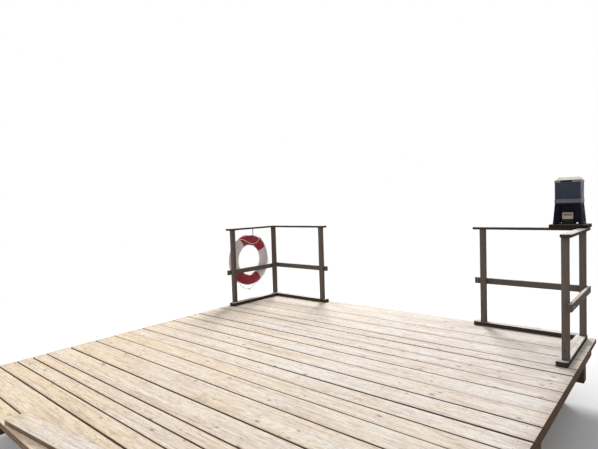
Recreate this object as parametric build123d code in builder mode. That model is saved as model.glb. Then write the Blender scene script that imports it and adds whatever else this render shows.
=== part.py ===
"""Wooden bathing jetty: a board deck on piles with two corner railings, a lifebuoy and a fish feeder.

X runs along the deck boards, Y from the shore towards the water, Z up. The origin is the centre of
the middle pile's foot. Right and left are seen from the shore, looking over the water.
"""

import os
from math import cos, radians, sin, sqrt, tan

from build123d import *

# Driving dimensions of the deck, in millimetres

board_widths = [265, 225, 245, 255, 160, 195, 165, 190, 215, 200, 205]  # from the water's edge
board_widths += [175, 165, 210, 260, 225, 120, 130, 140, 215, 130]  # down to the shore's edge
boards_per_node = 3
board_gap = 6
board_thickness = 45
deck_width = 4100  # at the shore's edge
left_flare = 190  # how much further left the boards reach at the water's edge
deck_height = 550  # top of the boards over the foot of the piles

joist_count = 5
joist_width = 80
joist_height = 120
joist_side_inset = 35
joist_end_inset = 30

bearer_width = 110
bearer_height = 140
bearer_spacing = 1700
bearer_side_inset = 35

pile_diameter = 170
pile_spacing = 1750

threshold_length = 1500
threshold_width = 145
threshold_thickness = 30
threshold_start = -705  # the X of its near left corner
threshold_setback = 10  # from the shore's edge to that corner
threshold_turn = 6  # degrees, it lies askew on the boards

# Driving dimensions of the railings

post_size = 55
railing_height = 1083  # top of the handrail over the boards
right_margin = 62  # from the right side arm's posts to the ends of the boards
left_margin = 87  # from the left corner post to the ends of the boards
water_margin = 65  # from the sill's outer edge to the water's edge
side_arm_length = 825  # between the centres of two posts
water_arm_length = 925
sill_width = 90
sill_thickness = 45
handrail_thickness = 28
mid_rail_thickness = 30
mid_rail_height = 65
mid_rail_level = 458  # its lower edge over the boards
left_side_drop = 28  # how much lower the mid rail of the left side arm sits
left_water_drop = 16  # and that of the left water arm
side_overhang = 48  # how far sills and rails pass the post at the shore's end of a side arm
left_overhang = 38  # the same at the way into the water, on the left railing
right_overhang = 75  # and on the right one

# Driving dimensions of the lifebuoy

ring_diameter = 750
ring_hole_diameter = 440
ring_thickness = 100
ring_level = 595  # its centre over the boards
ring_shift = -10  # of its centre along Y, from the middle of the side arm
colour_turn = -13  # degrees, how far the coloured quarters are turned
ring_clearance = 0.3

hook_width = 12
hook_shift = 45  # along Y, from the ring's centre
hook_thickness = 4
hook_play = 6  # between the ring's outer side and the tip
hook_tip = 26

band_thickness = 3
band_arc = 5  # degrees
fixing_turn = 5  # degrees, how far the four bands are turned from the diagonals
lug_length = 24
lug_width = 22
lug_height = 20
lug_embedding = 2.3  # how deep the lug sits in its band
rope_diameter = 10
knot_diameter = 24

# Driving dimensions of the fish feeder

shelf_width = 320
shelf_depth = 260
shelf_thickness = 35
feeder_shift = 5  # from the shelf's centre towards the way into the water

base_width = 246
base_depth = 234
base_top_width = 212
base_top_depth = 205
base_height = 204
foot_width = 34
foot_height = 20
recess_width = 128
recess_depth = 12
recess_top_band = 22
outlet_width = 104
outlet_depth = 120
plate_width = 90
plate_height = 62
plate_thickness = 2
plate_level = 52  # its lower edge over the shelf

hopper_width = 220
hopper_depth = 212
hopper_height = 158  # of the plain walls between the flange and the rim
hopper_corner = 14
flange_height = 38
flange_overhang = 3
rim_height = 20
lid_inset = 3  # from the rim's outer face to the lid's lower edge
lid_height = 32
lid_slope = 20  # how far the lid's upper edge lies inside its lower one

# Levels and edges that follow from them

deck_depth = sum(board_widths) + board_gap * (len(board_widths) - 1)
water_edge = deck_depth / 2
shore_edge = -deck_depth / 2
deck_right = deck_width / 2

board_bottom = deck_height - board_thickness
joist_bottom = board_bottom - joist_height
bearer_bottom = joist_bottom - bearer_height

sill_top = deck_height + sill_thickness
handrail_top = deck_height + railing_height
handrail_bottom = handrail_top - handrail_thickness
mid_rail_bottom = deck_height + mid_rail_level
shelf_top = handrail_top + shelf_thickness


def deck_left(y):
    """The X of the boards' left ends, which lie further left towards the water."""
    return -deck_width / 2 - left_flare * (y - shore_edge) / deck_depth


corner_y = water_edge - water_margin - sill_width + post_size / 2
side_post_y = corner_y - side_arm_length
side_end_y = side_post_y - post_size / 2 - side_overhang
right_corner = deck_right - right_margin - post_size / 2
left_corner = deck_left(corner_y) + left_margin + post_size / 2
rail_reach = post_size / 2 + mid_rail_thickness


def save(builder, name):
    """Label a finished piece and write it as its own file."""
    builder.part.label = name
    export_step(builder.part, f"parts/{name}.step")


def plank(name, x_ends, y_ends, bottom, height):
    """A straight piece of timber between two X and two Y values, standing on its bottom level."""
    with BuildPart() as timber:
        middle = ((x_ends[0] + x_ends[1]) / 2, (y_ends[0] + y_ends[1]) / 2)
        with BuildSketch(Plane.XY.offset(bottom)):
            with Locations(middle):
                Rectangle(abs(x_ends[1] - x_ends[0]), abs(y_ends[1] - y_ends[0]))
        extrude(amount=height)
    save(timber, name)


def cut_plank(name, corners, bottom, height):
    """A piece of timber with ends cut at an angle, from the corners of its plan."""
    with BuildPart() as timber:
        with BuildSketch(Plane.XY.offset(bottom)):
            with BuildLine():
                Polyline(*corners, close=True)
            make_face()
        extrude(amount=height)
    save(timber, name)


os.makedirs("parts", exist_ok=True)

# Deck boards, three to a node

board_bands = []
band_top = water_edge
for board_width in board_widths:
    board_bands.append((band_top - board_width, band_top))
    band_top -= board_width + board_gap

for first in range(0, len(board_bands), boards_per_node):
    with BuildPart() as boards:
        with BuildSketch(Plane.XY.offset(board_bottom)):
            for low, high in board_bands[first : first + boards_per_node]:
                with BuildLine():
                    Polyline(
                        (deck_left(low), low),
                        (deck_right, low),
                        (deck_right, high),
                        (deck_left(high), high),
                        close=True,
                    )
                make_face()
        extrude(amount=board_thickness)
    save(boards, f"deck_boards_{first // boards_per_node + 1}")

# Joists along Y: the left one follows the slanting board ends, the others are parallel

joist_low = shore_edge + joist_end_inset
joist_high = water_edge - joist_end_inset
first_joist = -deck_width / 2 + joist_side_inset
last_joist = deck_right - joist_side_inset - joist_width
joist_pitch = (last_joist - first_joist) / (joist_count - 1)

for number in range(joist_count):
    if number == 0:
        low_x = deck_left(joist_low) + joist_side_inset
        high_x = deck_left(joist_high) + joist_side_inset
    else:
        low_x = high_x = first_joist + number * joist_pitch
    joist_corners = [
        (low_x, joist_low),
        (low_x + joist_width, joist_low),
        (high_x + joist_width, joist_high),
        (high_x, joist_high),
    ]
    cut_plank(f"joist_{number + 1}", joist_corners, joist_bottom, joist_height)

# Bearers along X and the piles under them

for row, row_y in (("shore", -bearer_spacing), ("middle", 0), ("water", bearer_spacing)):
    bearer_left = deck_left(row_y) + bearer_side_inset
    bearer_right = deck_right - bearer_side_inset
    bearer_sides = (row_y - bearer_width / 2, row_y + bearer_width / 2)
    plank(f"bearer_{row}", (bearer_left, bearer_right), bearer_sides, bearer_bottom, bearer_height)

    with BuildPart() as piles:
        with BuildSketch():
            with Locations((-pile_spacing, row_y), (0, row_y), (pile_spacing, row_y)):
                Circle(pile_diameter / 2)
        extrude(amount=bearer_bottom)
    save(piles, f"piles_{row}")

# Threshold plank on the boards where people step on from the shore

along_x = cos(radians(threshold_turn))
along_y = sin(radians(threshold_turn))
near_left = (threshold_start, shore_edge + threshold_setback)
near_right = (near_left[0] + threshold_length * along_x, near_left[1] + threshold_length * along_y)
far_right = (near_right[0] - threshold_width * along_y, near_right[1] + threshold_width * along_x)
far_left = (near_left[0] - threshold_width * along_y, near_left[1] + threshold_width * along_x)
threshold_corners = [near_left, near_right, far_right, far_left]
cut_plank("threshold", threshold_corners, deck_height, threshold_thickness)

# Two railings, each an L of a side arm and a water arm that meet at a corner post

railings = (
    ("left", left_corner, -1, left_overhang, left_side_drop, left_water_drop),
    ("right", right_corner, 1, right_overhang, 0, 0),
)
for side, corner_x, out, water_overhang, side_drop, water_drop in railings:
    water_post_x = corner_x - out * water_arm_length
    water_end_x = water_post_x - out * (post_size / 2 + water_overhang)
    outer_x = corner_x + out * post_size / 2
    inner_x = corner_x - out * post_size / 2
    sill_inner_x = outer_x - out * sill_width
    rail_outer_x = corner_x + out * rail_reach
    inner_y = corner_y - post_size / 2
    outer_y = corner_y + post_size / 2
    sill_outer_y = inner_y + sill_width
    rail_outer_y = corner_y + rail_reach

    side_sill = ((sill_inner_x, outer_x), (side_end_y, sill_outer_y))
    plank(f"{side}_side_sill", *side_sill, deck_height, sill_thickness)
    water_sill = ((water_end_x, sill_inner_x), (inner_y, sill_outer_y))
    plank(f"{side}_water_sill", *water_sill, deck_height, sill_thickness)

    for place, post_x, post_y in (
        ("side", corner_x, side_post_y),
        ("corner", corner_x, corner_y),
        ("water", water_post_x, corner_y),
    ):
        post_width = (post_x - post_size / 2, post_x + post_size / 2)
        post_depth = (post_y - post_size / 2, post_y + post_size / 2)
        plank(f"{side}_{place}_post", post_width, post_depth, sill_top, handrail_bottom - sill_top)

    side_rail = ((outer_x, rail_outer_x), (side_end_y, rail_outer_y))
    plank(f"{side}_side_mid_rail", *side_rail, mid_rail_bottom - side_drop, mid_rail_height)
    water_rail = ((water_end_x, outer_x), (outer_y, rail_outer_y))
    plank(f"{side}_water_mid_rail", *water_rail, mid_rail_bottom - water_drop, mid_rail_height)

    inner_corner = (inner_x, inner_y)
    outer_corner = (rail_outer_x, rail_outer_y)
    side_handrail = [inner_corner, (inner_x, side_end_y), (rail_outer_x, side_end_y), outer_corner]
    cut_plank(f"{side}_side_handrail", side_handrail, handrail_bottom, handrail_thickness)
    water_handrail = [inner_corner, outer_corner, (water_end_x, rail_outer_y), (water_end_x, inner_y)]
    cut_plank(f"{side}_water_handrail", water_handrail, handrail_bottom, handrail_thickness)

# Lifebuoy on the outer side of the left railing's side arm, turned about an axis along X

ring_front_x = left_corner - rail_reach - hook_thickness - 2 * ring_clearance
ring_x = ring_front_x - ring_thickness / 2
ring_y = (side_post_y + corner_y) / 2 + ring_shift
ring_z = deck_height + ring_level
ring_section = (ring_diameter - ring_hole_diameter) / 2
ring_mid_radius = (ring_diameter + ring_hole_diameter) / 4
ring_axis = Axis((ring_x, ring_y, ring_z), (1, 0, 0))


def ring_plane(angle):
    """The half plane from the ring's axis outwards, at an angle from +Y towards +Z."""
    outwards = (0, cos(radians(angle)), sin(radians(angle)))
    along = (0, -sin(radians(angle)), cos(radians(angle)))
    return Plane(origin=(ring_x, ring_y, ring_z), x_dir=outwards, z_dir=along)


for colour, first_angle in (("red", 45), ("white", 135)):
    with BuildPart() as quarters:
        for turn in range(2):
            start = first_angle + colour_turn + 180 * turn
            with BuildSketch(ring_plane(start)):
                with Locations((ring_mid_radius, 0)):
                    Ellipse(ring_section / 2, ring_thickness / 2)
            revolve(axis=ring_axis, revolution_arc=90)
    save(quarters, f"lifebuoy_{colour}")

# Bands round the ring, each with a lug on its outer side that holds the grab line

fixing_angles = [45 + fixing_turn + 90 * quarter for quarter in range(4)]
band_outer = ring_clearance + band_thickness
band_crest = ring_diameter / 2 + band_outer
lug_radius = band_crest - lug_embedding + lug_height / 2

with BuildPart() as bands:
    for angle in fixing_angles:
        with BuildSketch(ring_plane(angle - band_arc / 2)):
            with Locations((ring_mid_radius, 0)):
                Ellipse(ring_section / 2 + band_outer, ring_thickness / 2 + band_outer)
                Ellipse(
                    ring_section / 2 + ring_clearance,
                    ring_thickness / 2 + ring_clearance,
                    mode=Mode.SUBTRACT,
                )
        revolve(axis=ring_axis, revolution_arc=band_arc)
        with BuildSketch(ring_plane(angle)):
            with Locations((lug_radius, 0)):
                Rectangle(lug_height, lug_width)
        extrude(amount=lug_length / 2, both=True)
save(bands, "lifebuoy_bands")

# Grab line: one stretch from each lug to the next. Points are (Y, Z, X) from the ring's centre. Each
# stretch starts and ends square to a lug, with a straight lead beside it

line_lead = 36
line_points = {
    "top": [
        (190, 322, 40),
        (146, 280, 64),
        (98, 246, 66),
        (38, 236, 66),
        (-34, 250, 66),
        (-98, 282, 64),
        (-154, 308, 58),
        (-208, 320, 42),
    ],
    "left": [
        (-353, 158, 0),
        (-378, 84, 0),
        (-387, -2, 0),
        (-382, -92, 0),
        (-350, -178, 0),
    ],
    "bottom": [
        (-164, -383, 0),
        (-122, -407, 0),
        (-70, -428, 0),
        (-22, -443, 0),
        (26, -422, 0),
        (66, -398, 0),
        (104, -378, 0),
        (146, -357, 0),
        (196, -333, 0),
    ],
    "right": [
        (364, -172, 0),
        (396, -110, 0),
        (396, -66, 0),
        (387, 4, 0),
        (377, 82, 0),
        (352, 158, 0),
        (319, 219, 0),
    ],
}
knot_place = line_points["bottom"][3]


def lug_point(angle, along):
    """A point at the lug's height over the ring, a distance along the tangent from the lug's middle."""
    place = ring_plane(angle).from_local_coords((lug_radius, 0, along))
    return (place.X, place.Y, place.Z)


def bend_radii(points):
    """The radius at each inner point: as large as the two runs beside it allow."""
    radii = []
    for before, here, after in zip(points, points[1:], points[2:]):
        run_in = Vector(*here) - Vector(*before)
        run_out = Vector(*after) - Vector(*here)
        half_turn = radians(run_in.get_angle(run_out)) / 2
        radii.append(0.45 * min(run_in.length, run_out.length) / tan(half_turn))
    return radii


lug_face = lug_length / 2
with BuildPart() as grab_line:
    for number, (stretch, between) in enumerate(line_points.items()):
        first_lug = fixing_angles[number]
        next_lug = fixing_angles[(number + 1) % len(fixing_angles)]
        start = [lug_point(first_lug, lug_face), lug_point(first_lug, lug_face + line_lead)]
        end = [lug_point(next_lug, -lug_face - line_lead), lug_point(next_lug, -lug_face)]
        middle = [(ring_x + x, ring_y + y, ring_z + z) for y, z, x in between]
        route_points = start + middle + end
        route_radii = bend_radii(route_points)
        with BuildLine() as route:
            FilletPolyline(*route_points, radius=route_radii)
        with BuildSketch(Plane(origin=route.line @ 0, z_dir=route.line % 0)):
            Circle(rope_diameter / 2)
        sweep(path=route.wire())
        print(stretch, round(route.wire().length), "long, radii", [round(r) for r in route_radii])
    with Locations((ring_x + knot_place[2], ring_y + knot_place[0], ring_z + knot_place[1])):
        Sphere(knot_diameter / 2)
save(grab_line, "grab_line")

# Steel hook from the handrail's outer edge down and under the ring

hook_x = left_corner - rail_reach
hook_back = hook_x - hook_thickness
hook_far_side = hook_shift + hook_width / 2
hook_seat = ring_z + sqrt((ring_hole_diameter / 2) ** 2 - hook_far_side**2) - ring_clearance
tip_front = ring_x - ring_thickness / 2 - hook_play
tip_back = tip_front - hook_thickness
with BuildPart() as hook:
    with BuildSketch(Plane.XZ.offset(-ring_y - hook_shift)):
        with BuildLine():
            Polyline(
                (hook_x, handrail_top),
                (hook_x, hook_seat - hook_thickness),
                (tip_back, hook_seat - hook_thickness),
                (tip_back, hook_seat + hook_tip),
                (tip_front, hook_seat + hook_tip),
                (tip_front, hook_seat),
                (hook_back, hook_seat),
                (hook_back, handrail_top),
                close=True,
            )
        make_face()
    extrude(amount=hook_width / 2, both=True)
save(hook, "lifebuoy_hook")

# Fish feeder on a shelf over the right railing's corner

shelf_x = right_corner + rail_reach - shelf_width / 2
shelf_ends = (shelf_x - shelf_width / 2, shelf_x + shelf_width / 2)
shelf_sides = (corner_y - shelf_depth / 2, corner_y + shelf_depth / 2)
plank("feeder_shelf", shelf_ends, shelf_sides, handrail_top, shelf_thickness)

feeder_x = shelf_x - feeder_shift
base_top = shelf_top + base_height
base_front = corner_y - base_depth / 2

with BuildPart() as feeder_base:
    with BuildSketch(Plane.XY.offset(shelf_top)):
        with Locations((feeder_x, corner_y)):
            Rectangle(base_width, base_depth)
    with BuildSketch(Plane.XY.offset(base_top)):
        with Locations((feeder_x, corner_y)):
            Rectangle(base_top_width, base_top_depth)
    loft()
    # The way under the housing, between its two feet
    with BuildSketch(Plane.XY.offset(shelf_top)):
        with Locations((feeder_x, corner_y)):
            Rectangle(base_width - 2 * foot_width, 2 * base_depth)
    extrude(amount=foot_height, mode=Mode.SUBTRACT)
    # The shallow panel in its front
    with BuildSketch(Plane.XY.offset(shelf_top)):
        with Locations((feeder_x, base_front)):
            Rectangle(recess_width, 2 * (recess_depth + (base_depth - base_top_depth) / 2))
    extrude(amount=base_height - recess_top_band, mode=Mode.SUBTRACT)
save(feeder_base, "feeder_base")

recess_face = base_front + recess_depth + (base_depth - base_top_depth) / 2
with BuildPart() as feeder_outlet:
    with BuildSketch(Plane.XY.offset(shelf_top)):
        with Locations((feeder_x, recess_face + outlet_depth / 2)):
            Rectangle(outlet_width, outlet_depth)
    extrude(amount=foot_height)
save(feeder_outlet, "feeder_outlet")

with BuildPart() as feeder_plate:
    with BuildSketch(Plane.XZ.offset(-recess_face)):
        with Locations((feeder_x, shelf_top + plate_level + plate_height / 2)):
            Rectangle(plate_width, plate_height)
    extrude(amount=plate_thickness)
save(feeder_plate, "feeder_plate")

rim_bottom = base_top + flange_height + hopper_height
hopper_top = rim_bottom + rim_height
with BuildPart() as feeder_hopper:
    for level, height in ((base_top, flange_height), (rim_bottom, rim_height)):
        with BuildSketch(Plane.XY.offset(level)):
            with Locations((feeder_x, corner_y)):
                RectangleRounded(hopper_width, hopper_depth, hopper_corner)
        extrude(amount=height)
    with BuildSketch(Plane.XY.offset(base_top + flange_height)):
        with Locations((feeder_x, corner_y)):
            RectangleRounded(
                hopper_width - 2 * flange_overhang,
                hopper_depth - 2 * flange_overhang,
                hopper_corner - flange_overhang,
            )
    extrude(amount=hopper_height)
save(feeder_hopper, "feeder_hopper")

lid_width = hopper_width - 2 * lid_inset
lid_depth = hopper_depth - 2 * lid_inset
lid_corner = hopper_corner - lid_inset
with BuildPart() as feeder_lid:
    with BuildSketch(Plane.XY.offset(hopper_top)):
        with Locations((feeder_x, corner_y)):
            RectangleRounded(lid_width, lid_depth, lid_corner)
    with BuildSketch(Plane.XY.offset(hopper_top + lid_height)):
        with Locations((feeder_x, corner_y)):
            RectangleRounded(lid_width - 2 * lid_slope, lid_depth - 2 * lid_slope, lid_corner)
    loft()
save(feeder_lid, "feeder_lid")
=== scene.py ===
from functools import partial
from math import cos, radians, sin, tau

import bmesh
import bpy
from mathutils import Matrix, Vector, noise


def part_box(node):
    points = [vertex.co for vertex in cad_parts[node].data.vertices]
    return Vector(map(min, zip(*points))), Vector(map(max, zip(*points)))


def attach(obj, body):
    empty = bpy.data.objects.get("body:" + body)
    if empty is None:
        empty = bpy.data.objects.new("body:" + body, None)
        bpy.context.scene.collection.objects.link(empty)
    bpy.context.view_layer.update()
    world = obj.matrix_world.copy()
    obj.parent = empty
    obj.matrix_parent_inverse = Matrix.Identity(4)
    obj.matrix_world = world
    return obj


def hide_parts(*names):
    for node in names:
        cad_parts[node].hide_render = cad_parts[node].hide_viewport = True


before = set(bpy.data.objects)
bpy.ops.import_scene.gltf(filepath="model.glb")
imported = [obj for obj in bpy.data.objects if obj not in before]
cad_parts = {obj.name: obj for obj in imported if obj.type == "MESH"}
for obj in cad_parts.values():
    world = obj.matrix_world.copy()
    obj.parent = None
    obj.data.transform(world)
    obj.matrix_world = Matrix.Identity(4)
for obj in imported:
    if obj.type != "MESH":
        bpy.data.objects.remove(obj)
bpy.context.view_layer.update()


def placed(name, data):
    """A new object in the scene."""
    made = bpy.data.objects.new(name, data)
    bpy.context.scene.collection.objects.link(made)
    return made


# Camera

camera_data = bpy.data.cameras.new("camera")
camera_data.sensor_width = 36
camera_data.lens = 26.968
camera = placed("camera", camera_data)
camera.location = (2.6892, -2.9981, 1.9336)
camera.rotation_euler = (radians(87.5088), radians(1.8268), radians(40.6289))
bpy.context.scene.camera = camera
bpy.context.scene.view_settings.view_transform = "Standard"


# Shader nodes

work = {}  # holds the node tree that nodes are being added to


def wire(value, socket):
    """Link a socket to another, or give it a plain value."""
    if isinstance(value, bpy.types.NodeSocket):
        work["tree"].links.new(value, socket)
    else:
        socket.default_value = value


def add(kind, inputs=None, **settings):
    """A shader node with its settings and its inputs."""
    made = work["tree"].nodes.new("ShaderNode" + kind)
    for name, value in settings.items():
        setattr(made, name, value)
    for place, value in (inputs or {}).items():
        wire(value, made.inputs[place])
    return made


def calc(operation, *values, clamp=False):
    """The result of one Math node."""
    return add("Math", dict(enumerate(values)), operation=operation, use_clamp=clamp).outputs[0]


times, plus, less = (partial(calc, operation) for operation in ("MULTIPLY", "ADD", "SUBTRACT"))
scaled = partial(calc, "MULTIPLY_ADD")  # a value times a factor, with more added


def vector_calc(operation, *vectors, result=0):
    """The result of one VectorMath node."""
    return add("VectorMath", dict(enumerate(vectors)), operation=operation).outputs[result]


def split(vector):
    """The three parts of a vector."""
    return add("SeparateXYZ", {0: vector}).outputs


def step_up(value, low, high):
    """A smooth rise from 0 at low to 1 at high, or a fall where low is the larger."""
    inputs = {0: value, 1: low, 2: high}
    return add("MapRange", inputs, interpolation_type="SMOOTHSTEP").outputs[0]


def colour(shown):
    """A colour from its display values from 0 to 255."""
    return tuple((part / 255) ** 2.2 for part in shown) + (1,)


def tint(share, first, second):
    """Two colours mixed by a share; those that are not sockets are display values."""
    first, second = (colour(value) if isinstance(value, tuple) else value for value in (first, second))
    return add("Mix", {0: share, 6: first, 7: second}, data_type="RGBA").outputs[2]


def speckle(place, scale, detail=2.0, roughness=0.5):
    """The value of a noise texture, about 0.5 on average."""
    inputs = {"Vector": place, "Scale": scale, "Detail": detail, "Roughness": roughness}
    return add("TexNoise", inputs).outputs["Fac"]


def stretch(vector, along, across, up, shift=None):
    """A vector with each of its parts multiplied, and moved by a shift."""
    made = vector_calc("MULTIPLY", vector, (along, across, up))
    return made if shift is None else vector_calc("ADD", made, shift)


def drawn_out(place, along, across, detail, roughness=0.5, shift=None):
    """A noise whose marks are drawn out along a timber."""
    return speckle(stretch(place, along, across, across, shift), 1.0, detail, roughness)


def hairlines(thread, width):
    """Thin lines where a noise passes its average."""
    return step_up(calc("ABSOLUTE", less(thread, 0.5)), width, 0.003)


def scattered(place, cell, spread, chance, smallest, largest, ragged):
    """Marks strewn over flat cells: a point's distance in mark sizes, and whether its cell has a mark."""
    length, width = cell
    cell_place = stretch(place, 1 / length, 1 / width, 0)
    settings = {"Vector": cell_place, "Scale": 1.0, "Randomness": 0.85}
    cells = add("TexVoronoi", settings, voronoi_dimensions="2D").outputs
    away = stretch(vector_calc("SUBTRACT", cell_place, cells["Position"]), length / spread, width, 0)
    distance = vector_calc("LENGTH", away, result="Value")
    distance = scaled(less(speckle(place, 90.0), 0.5), ragged, distance)
    luck = add("SeparateColor", {0: cells["Color"]}).outputs
    size = scaled(luck[1], largest - smallest, smallest)
    return calc("DIVIDE", distance, size), calc("LESS_THAN", luck[0], chance)


def open_group(name, inputs):
    """Start a node group; what is given to it is returned by name."""
    tree = work["tree"] = bpy.data.node_groups.new(name, "ShaderNodeTree")
    for label, kind in inputs.items():
        tree.interface.new_socket(label, in_out="INPUT", socket_type="NodeSocket" + kind)
    return tree.nodes.new("NodeGroupInput").outputs


def close_group(results):
    """Lead the named results out of the node group, which is returned."""
    tree = work["tree"]
    for label in results:
        tree.interface.new_socket(label, in_out="OUTPUT", socket_type="NodeSocketFloat")
    outlets = tree.nodes.new("NodeGroupOutput").inputs
    for label, value in results.items():
        wire(value, outlets[label])
    return tree


# Rings, knots, flecks, streaks, grit, fibres, patches and cracks, from a timber's own axes
given = open_group(
    "sawn_timber", {"Place": "Vector", "Seed": "Float", "Ring Spacing": "Float", "Knot Share": "Float"}
)
place, seed = given["Place"], given["Seed"]
shift = add("CombineXYZ", {0: times(seed, 3.71), 1: times(seed, 1.93), 2: seed}).outputs[0]
own_place = vector_calc("ADD", place, shift)

share, chosen = scattered(own_place, (0.29, 0.093), 1.8, given["Knot Share"], 0.003, 0.009, 0.009)
fleck_share, fleck_chosen = scattered(own_place, (0.085, 0.031), 3.2, 0.32, 0.0008, 0.0038, 0.004)

# The rings lie round a pith below the timber, sway along it and swell round its knots
wide = add("TexNoise", {"Vector": stretch(place, 0.8, 2.2, 2.2, shift), "Scale": 1.0, "Detail": 1.5})
sway = split(vector_calc("SUBTRACT", wide.outputs["Color"], (0.5, 0.5, 0.5)))
parts = split(place)
pith_side = times(calc("SINE", times(seed, 91.7)), 0.055)
side = scaled(sway[1], 0.16, less(parts[1], pith_side))
below = scaled(sway[2], 0.16, plus(parts[2], 0.075))
radius = calc("SQRT", plus(times(side, side), times(below, below)))
swell = times(chosen, calc("EXPONENT", times(share, -0.55)))
turns = plus(calc("DIVIDE", radius, given["Ring Spacing"]), times(swell, 2.6))
turns = plus(turns, times(drawn_out(place, 3, 30, 2.0, shift=shift), 0.8))
within = calc("FRACT", turns)

patches = drawn_out(place, 1.6, 9, 3.0, 0.6, shift)
cracks = hairlines(drawn_out(place, 2.2, 46, 1.0, shift=shift), 0.016)
timber_group = close_group({
    "Rings": times(step_up(within, 0.25, 0.85), step_up(within, 1.0, 0.9)),
    "Knots": times(chosen, step_up(share, 1.2, 0.6)),
    "Knot Edge": times(chosen, step_up(share, 2.8, 0.8)),
    "Flecks": times(fleck_chosen, step_up(fleck_share, 1.3, 0.5)),
    "Streaks": step_up(drawn_out(place, 1.7, 75, 3.0, 0.6, shift), 0.47, 0.68),
    "Blotches": step_up(drawn_out(place, 7, 34, 5.0, 0.72, shift), 0.45, 0.75),
    "Grit": step_up(drawn_out(place, 20, 36, 4.0, 0.8, shift), 0.48, 0.72),
    "Blush": step_up(drawn_out(own_place, 0.9, 15, 3.0, 0.55), 0.46, 0.66),
    "Fibres": drawn_out(place, 5, 260, 3.0, shift=shift),
    "Patches": patches,
    "Cracks": times(cracks, step_up(patches, 0.5, 0.66)),
})

# How near a point is to a timber's long edges and to its sawn ends
given = open_group("timber_edges", {"Place": "Vector", "Half Size": "Vector"})
place = given["Place"]
left = split(vector_calc("SUBTRACT", given["Half Size"], vector_calc("ABSOLUTE", place)))
ragged = times(drawn_out(place, 6, 60, 3.0), 0.012)
deep = times(drawn_out(place, 4, 50, 2.0), 0.12)
edges_group = close_group({
    "Long Edge": step_up(less(left[1], ragged), 0.003, -0.004),
    "Near End": step_up(less(left[0], deep), 0.03, -0.06),
    "End Face": step_up(left[0], 0.0012, 0.0004),
})

# Dust, fine scratches and stains of a moulded or painted surface, from its Object coordinates
given = open_group("surface_wear", {"Place": "Vector", "Scale": "Float"})
place = add("VectorMath", {0: given["Place"], 3: given["Scale"]}, operation="SCALE").outputs[0]
dust = speckle(place, 14.0, 5.0, 0.65)
scratches = hairlines(speckle(stretch(place, 60, 45, 38), 1.0, 1.0), 0.012)
wear_group = close_group({
    "Dust": step_up(dust, 0.42, 0.72),
    "Scratches": times(scratches, step_up(dust, 0.56, 0.66)),
    "Stains": step_up(speckle(place, 4.0, 4.0, 0.6), 0.52, 0.75),
})


# Materials, each under its own name

materials = {}


def new_material(name, specular=0.5, **constants):
    """The Principled shader of a new material, with plain values set on its own sockets."""
    constants["Specular_IOR_Level"] = specular
    material = materials[name] = bpy.data.materials.new(name)
    material.use_nodes = True
    work["tree"] = material.node_tree
    material.node_tree.nodes.clear()
    shader = add("BsdfPrincipled", {label.replace("_", " "): value for label, value in constants.items()})
    wire(shader.outputs[0], add("OutputMaterial").inputs[0])
    return shader


def coat(shader, skin, roughness, height, strength, distance):
    """Give a shader its colour, its roughness and its fine relief."""
    relief = add("Bump", {"Strength": strength, "Distance": distance, "Height": height}).outputs[0]
    for label, value in (("Base Color", skin), ("Roughness", roughness), ("Normal", relief)):
        wire(value, shader.inputs[label])


def upward():
    """1 on faces that look up, 0 on walls and undersides."""
    return step_up(split(add("NewGeometry").outputs["Normal"])[2], 0.25, 0.65)


def stored(name):
    """A vector that is stored on the mesh."""
    return add("Attribute", attribute_name=name).outputs["Vector"]


def timbered(name, top, warm, blush, side, dark, knot, spacing, rings, streaks, edge, bleach_and_sunlight):
    """Weathered sawn wood: bleached and painted as sunlit where it looks up, browner and in painted shade
    on its sides, with its grain on top.
    """
    shader = new_material(name, specular=0.08)
    place = stored("timber_place")
    seed, knot_share, tone = split(stored("timber_traits"))
    grain = {"Place": place, "Seed": seed, "Ring Spacing": spacing, "Knot Share": knot_share}
    wood = add("Group", grain, node_tree=timber_group).outputs
    reach = {"Place": place, "Half Size": stored("timber_half")}
    edges = add("Group", reach, node_tree=edges_group).outputs

    mottle = scaled(wood["Patches"], 1.6, -0.8)
    warmth = plus(scaled(split(place)[0], -0.14, tone), mottle, clamp=True)
    face = tint(times(wood["Blush"], 0.5), tint(warmth, top, warm), blush)
    flank = tint(times(wood["Patches"], 0.6), side, knot)
    # Faces that look up get the pale face colour (bleached wood and painted sunlight); sides keep the
    # darker flank colour (painted shade)
    facing = times(upward(), scaled(wood["Patches"], 1 - bleach_and_sunlight, bleach_and_sunlight), clamp=True)
    skin = tint(facing, flank, face)
    skin = tint(times(wood["Rings"], scaled(facing, -0.3 * rings, rings)), skin, tint(0.55, skin, dark))
    for mask, share, shade in (
        (wood["Streaks"], streaks, dark),
        (wood["Blotches"], streaks, dark),
        (wood["Grit"], streaks, dark),
        (step_up(wood["Fibres"], 0.42, 0.72), 0.26, dark),
        (edges["Long Edge"], edge, dark),
        (edges["Near End"], 0.2, dark),
        # End faces darker: dark end grain, with painted shade
        (edges["End Face"], 0.65, tint(0.5, side, knot)),
        (wood["Flecks"], 0.4, knot),
        (wood["Knot Edge"], 0.4, dark),
        (wood["Knots"], 0.5, knot),
        (wood["Cracks"], 0.5, knot),
    ):
        skin = tint(times(mask, share), skin, shade)
    height = less(scaled(wood["Rings"], 0.35, times(wood["Fibres"], 0.3)), wood["Cracks"])
    coat(shader, skin, scaled(wood["Patches"], 0.25, 0.68), height, 0.6, 0.0012)


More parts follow.
